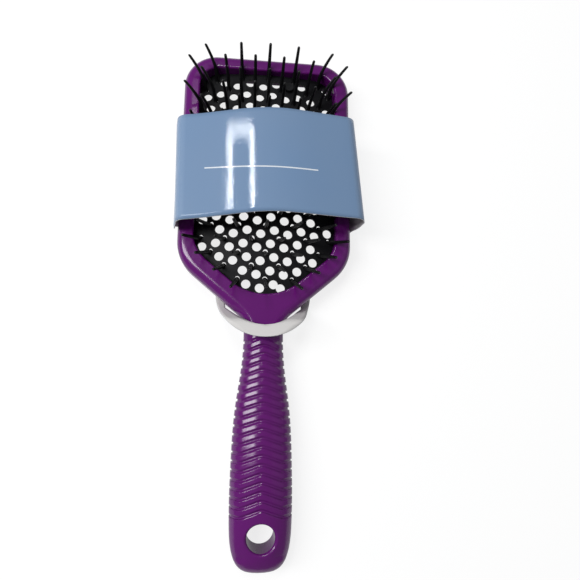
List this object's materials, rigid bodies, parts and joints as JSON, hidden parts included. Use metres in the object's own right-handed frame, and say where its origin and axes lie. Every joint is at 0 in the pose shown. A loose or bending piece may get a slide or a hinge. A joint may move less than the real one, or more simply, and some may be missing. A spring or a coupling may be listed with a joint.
{
  "type": "detangling brush",
  "caption": "Paddle detangling brush with a grooved one-piece handle and ring head, a domed vented pad, splayed round-tipped pins and a slip-on card sleeve.",
  "frame": {"origin": "centre of the hang hole in the handle", "axes": "+Y along the handle to the top of the head, +Z out of the head the way the pins point"},
  "size_m": [0.0872, 0.2328, 0.0325],
  "materials": {
    "purple_plastic": "glossy moulded plastic",
    "black_nylon": "satin black nylon",
    "pin_nylon": "satin black nylon",
    "printed_card": "gloss-coated printed card, bare grey-white inside"
  },
  "bodies": {
    "brush": {"handle_frame": "purple_plastic", "vent_pad": "black_nylon", "pin_row_01": "pin_nylon", "pin_row_02": "pin_nylon", "pin_row_03": "pin_nylon", "pin_row_04": "pin_nylon", "pin_row_05": "pin_nylon", "pin_row_06": "pin_nylon", "pin_row_07": "pin_nylon", "pin_row_08": "pin_nylon", "pin_row_09": "pin_nylon", "pin_row_10": "pin_nylon", "pin_row_11": "pin_nylon", "pin_row_12": "pin_nylon", "pin_row_13": "pin_nylon", "pin_row_14": "pin_nylon", "pin_row_15": "pin_nylon", "pin_row_16": "pin_nylon", "pin_row_17": "pin_nylon"},
    "sleeve": {"card_sleeve": "printed_card"}
  },
  "joints": [
    {"name": "sleeve_slide", "type": "slide", "parent": "brush", "child": "sleeve", "axis": [0, -1, 0], "range_m": [0, 0.2]}
  ]
}
